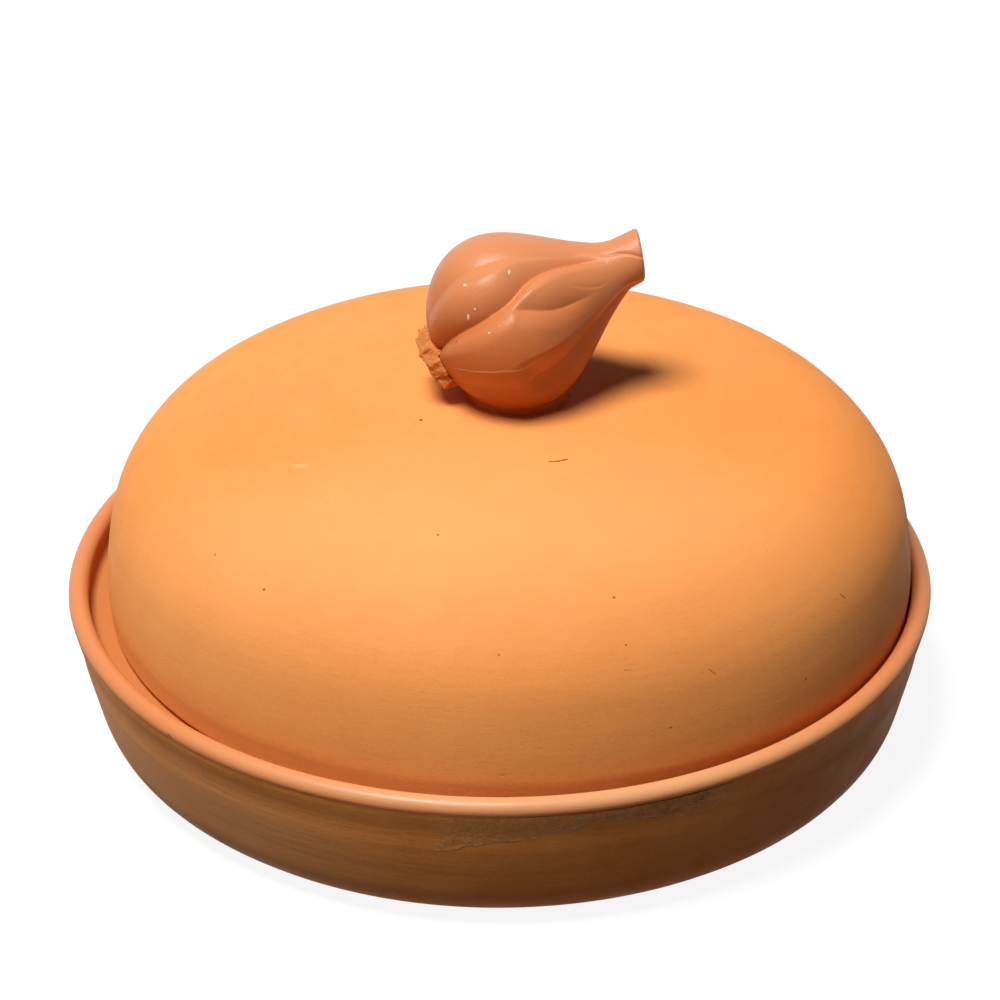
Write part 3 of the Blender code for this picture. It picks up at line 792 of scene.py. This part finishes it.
# %% The lid
def dome():
    """Outer points of the lid from its widest ring to the crown, each with its slope."""
    radius, height = LID_RADIUS, SKIRT
    made = [(radius, height, math.pi / 2)]
    for bend, first, last, count in DOME_ARCS:
        for i in range(1, count + 1):
            slope = first + (last - first) * i / count
            r = radius - bend * (math.sin(first) - math.sin(slope))
            z = height + bend * (math.cos(slope) - math.cos(first))
            made.append((r, z, slope))
        radius, height = made[-1][0], made[-1][1]
    made[-1] = (0.0, height, 0.0)
    return made


def lid_outline():
    """From the middle of the crown down the outside, round the lower edge and up the inside."""
    rising = dome()
    outside = [(r, z) for r, z, slope in rising[::-1]]
    inside = [(r - LID_WALL * math.sin(slope), z - LID_WALL * math.cos(slope))
              for r, z, slope in rising[::2]]
    draft = SKIRT * math.tan(SKIRT_DRAFT)
    outer_edge = (LID_RADIUS - draft - LID_EDGE, LID_EDGE)
    inner_edge = (LID_RADIUS - LID_WALL - draft + LID_EDGE, LID_EDGE)
    skirt = run(outside[-1], (outer_edge[0] + LID_EDGE, LID_EDGE), 0.8 * MM)
    edge = (arc(outer_edge, LID_EDGE, 0.0, -math.pi / 2, 8)
            + arc(inner_edge, LID_EDGE, -math.pi / 2, -math.pi, 8))
    return without_doubles(outside + skirt + edge + inside), len(outside)


points, skirt_start = lid_outline()
free = [1.0 if i < skirt_start else 0.0 for i in range(len(points))]
lid = thrown("lid_thrown", points, free,
             {**POT, "Ridge Spacing": 6.0 * MM, "Seed": 8.0, "Material": lid_material})
lid.data.transform(Matrix.Translation((LID_SHIFT, 0.0, LID_SEAT)))

# %% [markdown]
# ## The knob
#
# The bulb is a smooth turned form first: an ellipsoid at the root end that runs into a neck. Then the
# creases between the cloves are pressed in along courses that swing round the bulb on their way from
# the root to the stem. A crease is deepest on its course and eases away on both sides, so each clove
# between two creases comes out convex. The skin is laid row by row with numpy, because every point of
# it feels several creases at once.

# %% Where the knob sits
BULB_RADIUS = 20.1 * MM
ROOT_LENGTH = 17.4 * MM
NECK_LENGTH = 27.8 * MM
NECK_FULLNESS = 0.8
NARROWING_START = 0.8
STEM_RADIUS = 6.3 * MM
STEM_LENGTH = 4.8 * MM
STEM_END = 5.6 * MM
STEM_ROUNDING = 0.8 * MM
STEM_SLANT = 0.36
SLANT_START = 0.75
STEM_DROP = 0.4 * MM
DROP_START = 0.3
KNOB_TILT = math.radians(27.5)
KNOB_TURN = math.radians(6.0)
FOOT_FLAT = 11.8 * MM
STEM_TIP = NECK_LENGTH + STEM_LENGTH
BULB_LENGTH = ROOT_LENGTH + STEM_TIP

foot_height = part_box("knob_bulb")[0].z
bulb_depth = math.hypot(ROOT_LENGTH * math.sin(KNOB_TILT), BULB_RADIUS * math.cos(KNOB_TILT))
knob_height = foot_height + bulb_depth * math.sqrt(1 - (FOOT_FLAT / BULB_RADIUS) ** 2)
knob_place = (Matrix.Translation((LID_SHIFT, 0.0, knob_height))
              @ Euler((0.0, math.pi / 2 - KNOB_TILT, KNOB_TURN)).to_matrix().to_4x4())
print("knob axis height", round(knob_height / MM, 2), "mm")

# %% The creases
# Each crease: its course as (share of the length, degrees from the front towards the top), its depth,
# the degrees it reaches on its upper and lower side, the shares where it starts and ends, and how
# each side runs out: 2 rolls off softly, 1 breaks off in an edge, 0 is soft and round at the bottom too
CREASES = (
    (((0.0, -12), (0.27, -22), (0.372, -22), (0.544, -28), (0.681, -33), (0.847, -42), (1.0, -50)),
     2.7 * MM, 21, 40, 0.26, 1.02, 1.0, 0),
    (((0.0, -10), (0.17, -18), (0.27, -22), (0.36, -26), (0.5, -30)), 1.2 * MM, 19, 36, 0.0, 0.52, 1.1, 0),
    (((0.0, 39), (0.3, 35), (0.42, 38), (0.56, 51), (0.75, 57), (0.87, 46), (1.0, 16)),
     3.6 * MM, 27, 17, -0.20, 0.88, 2.0, 2.0),
    (((0.80, 64), (0.832, 60), (0.93, 42), (0.98, 23), (1.0, 16)), 0.9 * MM, 9, 5, 0.78, 1.10, 1.4, 2.0),
    (((0.34, 38), (0.46, 29), (0.59, 16), (0.75, 8)), 2.0 * MM, 32, 16, 0.33, 0.78, 2.0, 2.0),
    (((0.62, 34), (0.695, 28), (0.749, 17), (0.80, 10)), 0.5 * MM, 8, 4, 0.60, 0.86, 1.5, 2.0),
    (((0.0, 74), (0.5, 70), (1.0, 66)), 1.3 * MM, 18, 18, 0.02, 0.86, 2.0, 2.0),
) + tuple(
    # four plain ones on the back, which the photograph doesn't show
    (((0.0, first), (0.5, first - 6), (1.0, last)), depth * MM, 22, 22, -0.20, 1.0, 2.0, 2.0)
    for first, last, depth in ((134, 118, 2.6), (174, 158, 3.0), (214, 198, 2.6), (254, 236, 3.0)))
# the share of the length over which a crease starts and ends, and how it shallows on thinner parts
CREASE_FADE = 0.16
CREASE_TAPER = 0.7
# where creases meet, a high power lets the deeper one win without adding them up
CREASE_BLEND = 4


def smooth(value):
    """Eases from 0 to 1, level at both ends."""
    value = np.clip(value, 0.0, 1.0)
    return value * value * (3 - 2 * value)


def course_angle(course, share):
    """Angle of a crease at each share of the length, on a smooth line through its stations."""
    at, angle = np.array(course, float).T
    tangent = np.gradient(angle, at)
    share = np.clip(share, at[0], at[-1])
    i = np.clip(np.searchsorted(at, share) - 1, 0, len(at) - 2)
    step = at[i + 1] - at[i]
    t = (share - at[i]) / step
    rise = angle[i + 1] - angle[i]
    a = tangent[i] * step - rise
    b = rise - tangent[i + 1] * step
    return (1 - t) * angle[i] + t * angle[i + 1] + t * (1 - t) * ((1 - t) * a + t * b)


def crease_depth(share, angle):
    """How deep the clay is pressed in at each point of the bulb."""
    total = np.zeros_like(share)
    for course, depth, upper, lower, start, end, upper_side, lower_side in CREASES:
        away = (angle - course_angle(course, share) + 180) % 360 - 180
        width = np.where(away > 0, upper, lower)
        power = np.where(away > 0, upper_side, lower_side)
        window = smooth((share - start) / CREASE_FADE) * smooth((end - share) / CREASE_FADE)
        rest = np.maximum(0.0, 1 - np.abs(away) / width)
        form = np.where(power > 0, rest ** np.maximum(power, 1.0), smooth(rest))
        total += (depth * window * form) ** CREASE_BLEND
    return total ** (1 / CREASE_BLEND)


# %% The bulb before the pressing
BULB_COLUMNS = 360
NECK_ROWS = 130
ROOT_ROWS = 90


def bulb_radius(along):
    """Radius of the bulb before the pressing, at these lengths along its axis."""
    share = np.clip(along / NECK_LENGTH, 0.0, 1.0)
    fall = (0.5 + 0.5 * np.cos(math.pi * share)) ** NECK_FULLNESS
    start = NECK_LENGTH * NARROWING_START
    narrowing = (STEM_RADIUS - STEM_END) * np.maximum(0.0, along - start) / (STEM_TIP - start)
    neck = STEM_RADIUS + (BULB_RADIUS - STEM_RADIUS) * fall - narrowing
    root = BULB_RADIUS * np.sqrt(np.clip(1 - (along / ROOT_LENGTH) ** 2, 0.0, 1.0))
    return np.where(along > 0, neck, root)


def bulb_points():
    """Rows of the bulb's skin from the stem end to the root, as (along, radius) before the pressing."""
    cap = [(STEM_TIP, r) for r in np.linspace(0.0, STEM_END - STEM_ROUNDING, 12)[1:-1]]
    edge = [(STEM_TIP - STEM_ROUNDING * (1 - math.cos(a)), STEM_END - STEM_ROUNDING * (1 - math.sin(a)))
            for a in np.linspace(0.0, math.pi / 2, 7)]
    side = [(a, float(bulb_radius(a)))
            for a in np.linspace(STEM_TIP - STEM_ROUNDING, 0.0, NECK_ROWS + 1)[1:]]
    root = [(-ROOT_LENGTH * math.sin(a), BULB_RADIUS * math.cos(a))
            for a in np.linspace(0.0, math.pi / 2, ROOT_ROWS + 1)[1:-1]]
    return np.array(cap + edge + side + root)


# %% Pressing the creases
rows = bulb_points()
turns = np.linspace(0.0, 360.0, BULB_COLUMNS, endpoint=False)
along, angle = np.meshgrid(rows[:, 0], turns, indexing="ij")
radius = np.repeat(rows[:, 1][:, None], BULB_COLUMNS, axis=1)
share = (along + ROOT_LENGTH) / BULB_LENGTH
depth = crease_depth(share, angle) * np.minimum(1.0, radius / BULB_RADIUS) ** CREASE_TAPER
# a crease goes in square to the skin: across the axis on the neck, and partly along it near the root
inward_radius = radius / BULB_RADIUS ** 2
inward_along = np.minimum(0.0, along) / ROOT_LENGTH ** 2
depth = depth / np.hypot(inward_radius, inward_along)
radius = radius - depth * inward_radius
along = along - depth * inward_along
x = -radius * np.sin(np.radians(angle))
y = -radius * np.cos(np.radians(angle))
# the stem bends down a little and is cut off at a slant
x = x + STEM_DROP * smooth((along / STEM_TIP - DROP_START) / (1 - DROP_START))
along = along - x * STEM_SLANT * smooth((along / STEM_TIP - SLANT_START) / (1 - SLANT_START))
skin = np.stack([x, y, along], -1).reshape(-1, 3)
deepest = np.hypot(depth * inward_radius, depth * inward_along).max()
print("deepest crease", round(float(deepest) / MM, 2), "mm")

# %% The bulb's mesh
stem_pole = (STEM_DROP, 0.0, STEM_TIP - STEM_DROP * STEM_SLANT)
root_pole = (0.0, 0.0, -ROOT_LENGTH)
vertices = [tuple(p) for p in skin] + [stem_pole, root_pole]
columns = [(j, (j + 1) % BULB_COLUMNS) for j in range(BULB_COLUMNS)]
faces = [(i + j, i + k, i + BULB_COLUMNS + k, i + BULB_COLUMNS + j)
         for i in range(0, (len(rows) - 1) * BULB_COLUMNS, BULB_COLUMNS) for j, k in columns]
last_row = (len(rows) - 1) * BULB_COLUMNS
for j, k in columns:
    faces.append((len(skin), k, j))
    faces.append((len(skin) + 1, last_row + j, last_row + k))
bulb_mesh = bpy.data.meshes.new("bulb")
bulb_mesh.from_pydata(vertices, [], faces)
bulb_mesh.transform(knob_place)
# the foot is pared flat where the bulb sits down on its slip
for point in bulb_mesh.vertices:
    point.co.z = max(point.co.z, foot_height)
bulb_mesh.shade_smooth()
# the material finds the seam by two numbers on the skin: the share of the length and the turn
for name, values, at_stem in (("share", share, 1.0), ("turn", (angle + 180) % 360 - 180, 0.0)):
    numbers = np.append(values.reshape(-1), (at_stem, 0.0)).astype(np.float32)
    bulb_mesh.attributes.new(name, "FLOAT", "POINT").data.foreach_set("value", numbers)
print("bulb", len(bulb_mesh.polygons), "faces")

# %% [markdown]
# The knob came out of a two-part mould, which left a thin seam along its front. It was then rubbed with
# a wet finger, so it shines a little more than the lid. A few chips show the paler clay inside.

# %% The clay of the knob
SEAM_SWAY_MM = 5.0
SEAM_SWAY_DEGREES = 3.0

clay = clay_body("pressed terracotta of the knob", "#d0763a", "#c06830",
                 roughness=0.40, lines=0.0, grain=0.04, specks=0.05, shine=0.32, matt=0.0)
tree = clay["tree"]
# the upper side is painted paler: painted light from the lamp above
level = add(tree, SPLIT, (clay["place"],)).outputs["Z"]
press(clay, add(tree, RANGE, (level, 98.0 * MM, 114.0 * MM)), "#eb9c6c", 0.55)
# the underside, and the side that faces away from the lamp, are painted darker: painted shade
press(clay, add(tree, RANGE, (level, 96.0 * MM, 84.0 * MM)), "#a04c0c", 0.65)
press(clay, spot(clay, (18.5, -10.5, 101.0), (8.0, 8.0, 8.0), 0.0, 0.7), "#a04a16", 0.45)

# the seam climbs round the bulb from 11 degrees to -6.5 and sways a little
share_here = add(tree, ("ShaderNodeAttribute", {"attribute_name": "share"})).outputs["Fac"]
turn_here = add(tree, ("ShaderNodeAttribute", {"attribute_name": "turn"})).outputs["Fac"]
course = add(tree, RANGE, (share_here, 0.04, 0.36, 11.0, -6.5))
sway = add(tree, NOISE, {"Vector": clay["place"], "Scale": per(SEAM_SWAY_MM), "Detail": 2.0})
course = add(tree, TIMES_PLUS, (sway, SEAM_SWAY_DEGREES, course))
off_seam = add(tree, MINUS, (turn_here, course))
off_seam = add(tree, PLUS, (off_seam, SEAM_SWAY_DEGREES / 2))
off_seam = add(tree, (MATH, {"operation": "ABSOLUTE"}), (off_seam,))
seam = add(tree, RANGE, (off_seam, 0.9, 0.3))
seam = overlap(clay, seam, band(clay, share_here, 0.06, 0.10, 0.34, 0.44))
press(clay, seam, "#f7b083", 0.5, -0.08)

# chips, each with its centre and its half widths, and two dark specks
for centre, size in (((-6.6, -13.7, 104.9), (0.30, 0.9, 0.70)), ((-7.6, -10.7, 111.0), (0.8, 0.6, 0.24)),
                     ((-6.1, -10.5, 111.1), (0.45, 0.6, 0.26)), ((2.2, -9.5, 113.5), (0.30, 0.5, 0.36)),
                     ((-5.1, -13.9, 106.9), (0.24, 0.4, 0.24)), ((-2.1, -17.8, 103.2), (0.22, 0.4, 0.18))):
    press(clay, spot(clay, centre, size, 1.2), "#ffe6c4", depth=0.15)
for centre in ((-9.2, -13.5, 98.8), (-4.0, -17.0, 100.5)):
    press(clay, spot(clay, centre, (0.28, 0.28, 0.28)), "#8a4520", depth=0.15)
bulb_mesh.materials.append(finish_clay(clay))
bulb = placed("bulb_pressed", bulb_mesh)

# %% [markdown]
# ## The root end
#
# The root end is a separate dab of stiff clay, nipped all round into lumps like cut roots. Nipping
# repeats, so a tree does it: blocks of uneven size stand on a circle round a flat core, the whole is
# melted into one body through a volume, and noise makes its surface crumbly.

# %% The tree that nips the root end
CRUMBLE_MM = 2.2


def root_tree():
    """The tree that melts a core and a ring of uneven blocks into one crumbly body."""
    tree, identifiers, given = open_tree(
        "nipped root end", "Core",
        {"Lumps": "Int", "Circle Radius": "Float", "Lump Size": "Float", "Crumble": "Float",
         "Voxel": "Float", "Seed": "Int", "Material": "Material"}, "Root End")
    # each lump faces out from the circle, and is turned, moved and sized a little by chance
    circle = add(tree, "GeometryNodeMeshCircle",
                 {"Vertices": given["Lumps"], "Radius": given["Circle Radius"]})
    here = add(tree, SPLIT, (add(tree, "GeometryNodeInputPosition"),)).outputs
    facing = add(tree, (MATH, {"operation": "ARCTAN2"}), (here["Y"], here["X"]))
    facing = add(tree, JOIN, {"Z": facing})
    tilt, jitter, size = (
        add(tree, ("FunctionNodeRandomValue", {"data_type": "FLOAT_VECTOR"}),
            {"Min": low, "Max": high, "Seed": given["Seed"]})
        for low, high in (((-0.6, -0.6, -0.9), (0.6, 0.6, 0.9)),
                          ((-0.9 * MM, -0.9 * MM, -0.6 * MM), (0.5 * MM, 0.5 * MM, 0.4 * MM)),
                          ((0.7, 0.7, 0.7), (1.2, 1.35, 1.15))))
    facing = add(tree, VECTOR_PLUS, (facing, tilt))
    block = add(tree, "GeometryNodeMeshCube", {"Size": (1.0, 1.0, 1.25)})
    size = add(tree, VECTOR_SCALE, {0: size, "Scale": given["Lump Size"]})
    lumps = add(tree, "GeometryNodeInstanceOnPoints",
                {0: circle, "Instance": block, "Rotation": facing, "Scale": size})
    lumps = add(tree, "GeometryNodeTranslateInstances", {0: lumps, "Translation": jitter})
    lumps = add(tree, "GeometryNodeRealizeInstances", (lumps,))
    joined = add(tree, "GeometryNodeJoinGeometry", (lumps,))
    tree.links.new(given["Core"], joined.inputs[0])

    # a volume melts them into one closed body, whose skin is then crumbled
    volume = add(tree, ("GeometryNodeMeshToVolume", {"resolution_mode": "VOXEL_SIZE"}),
                 {0: joined, "Voxel Size": given["Voxel"], "Interior Band Width": 1.0 * MM})
    body = add(tree, "GeometryNodeVolumeToMesh", {0: volume, "Threshold": 0.1})
    place = add(tree, "GeometryNodeInputPosition")
    coarse = add(tree, NOISE, {"Vector": place, "Scale": per(CRUMBLE_MM), "Detail": 4.0, "Roughness": 0.6})
    push = add(tree, MINUS, (coarse, 0.5))
    push = add(tree, TIMES, (push, given["Crumble"]))
    normal = add(tree, "GeometryNodeInputNormal")
    offset = add(tree, VECTOR_SCALE, {0: normal, "Scale": push})
    body = add(tree, "GeometryNodeSetPosition", {0: body, "Offset": offset})
    close_tree(tree, body, given["Material"])
    return tree, identifiers


# %% The root end
ROOT_RADIUS = 7.2 * MM
ROOT_THICKNESS = 3.6 * MM
ROOT_EMBED = 1.6 * MM
LUMP_SIZE = 3.2 * MM
CORE_INSET = 1.2 * MM
CORE_FLATNESS = 0.62

root_clay = finish_clay(clay_body("nipped terracotta of the roots", "#e39252", "#cb783c",
                                  roughness=0.74, lines=0.0, grain=0.10, specks=0.10))
core = bmesh.new()
bmesh.ops.create_uvsphere(core, u_segments=48, v_segments=24, radius=1.0)
for vertex in core.verts:
    vertex.co = (vertex.co.x * (ROOT_RADIUS - CORE_INSET), vertex.co.y * (ROOT_RADIUS - CORE_INSET),
                 vertex.co.z * ROOT_THICKNESS * CORE_FLATNESS)
core_mesh = bpy.data.meshes.new("root core")
core.to_mesh(core_mesh)
core.free()
tree, identifiers = root_tree()
root_end = grown("root_end_nipped", core_mesh, tree, identifiers, {
    "Lumps": 11,
    "Circle Radius": ROOT_RADIUS - LUMP_SIZE * 0.55,
    "Lump Size": LUMP_SIZE,
    "Crumble": 1.7 * MM,
    "Voxel": 0.18 * MM,
    "Seed": 5,
    "Material": root_clay,
})
root_middle = -ROOT_LENGTH - ROOT_THICKNESS / 2 + ROOT_EMBED
root_end.data.transform(knob_place @ Matrix.Translation((0.0, 0.0, root_middle)))

# %% [markdown]
# ## The slip under the knob
#
# Slip is clay stirred with water: the potter sets the knob into a wet pool of it, and what is pressed
# out stands round the foot as a low uneven collar. It is a turned form that strays a lot, so the wheel
# makes it too, with narrow ridges and a strong wobble.

# %% The slip
SLIP_FOOT = 11.9 * MM
SLIP_TOP = 11.2 * MM
SLIP_RISE = 0.2 * MM
SLIP_SINK = 0.1 * MM
SLIP_LIP = 0.6 * MM

slip_low, slip_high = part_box("knob_slip_pad")
slip_middle = (slip_low + slip_high) / 2
# the lid's crown, on which the foot of the collar stands, is part of a sphere
crown_height = lid_high.z - CROWN_RADIUS + math.sqrt(CROWN_RADIUS ** 2 - SLIP_FOOT ** 2)
foot = crown_height - SLIP_SINK
collar_top = foot_height + SLIP_RISE
collar = [(SLIP_TOP + (SLIP_FOOT - SLIP_TOP) * math.sin(a),
           foot + (collar_top - foot) * (1 - math.sin(a)) ** 1.5) for a in np.linspace(0.0, math.pi / 2, 9)]
middle = (0.0, foot_height + SLIP_SINK)
points = [middle] + run(middle, (SLIP_TOP - SLIP_LIP, collar_top), 1 * MM)
points = without_doubles(points + collar + run(collar[-1], (0.0, foot - SLIP_SINK), 3 * MM))
slip = thrown("slip_collar", points, [0.0] + [1.0] * (len(points) - 2) + [0.0], {
    "Columns": 160,
    "Ridge Spacing": 1.0 * MM,
    "Ridge Height": 0.2 * MM,
    "Wobble": 0.8 * MM,
    "Seed": 2.0,
    "Material": finish_clay(clay_body("fired slip", "#ea8f4c", "#d27a3a",
                                      roughness=0.70, lines=0.0, grain=0.08, specks=0.0)),
})
slip.data.transform(Matrix.Translation((slip_middle.x, slip_middle.y, 0.0)))

# %% [markdown]
# ## Riding, replacing and finishing
#
# Every piece rides on the body that carries it, so the lid lifts off with its knob. Each stands for
# one node of the imported model, which is hidden.

# %% Every piece rides on its body
for piece, body, node, slot in (
    (dish, "dish", "dish", "dish_terracotta"),
    (lid, "lid", "lid", "lid_terracotta"),
    (bulb, "lid", "knob_bulb", "knob_terracotta"),
    (root_end, "lid", "knob_root_plate", "root_terracotta"),
    (slip, "lid", "knob_slip_pad", "slip_terracotta"),
):
    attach(piece, body)
    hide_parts(node)
    print(piece.name, "rides on", body)

# %% View settings
bpy.context.scene.view_settings.view_transform = "Standard"
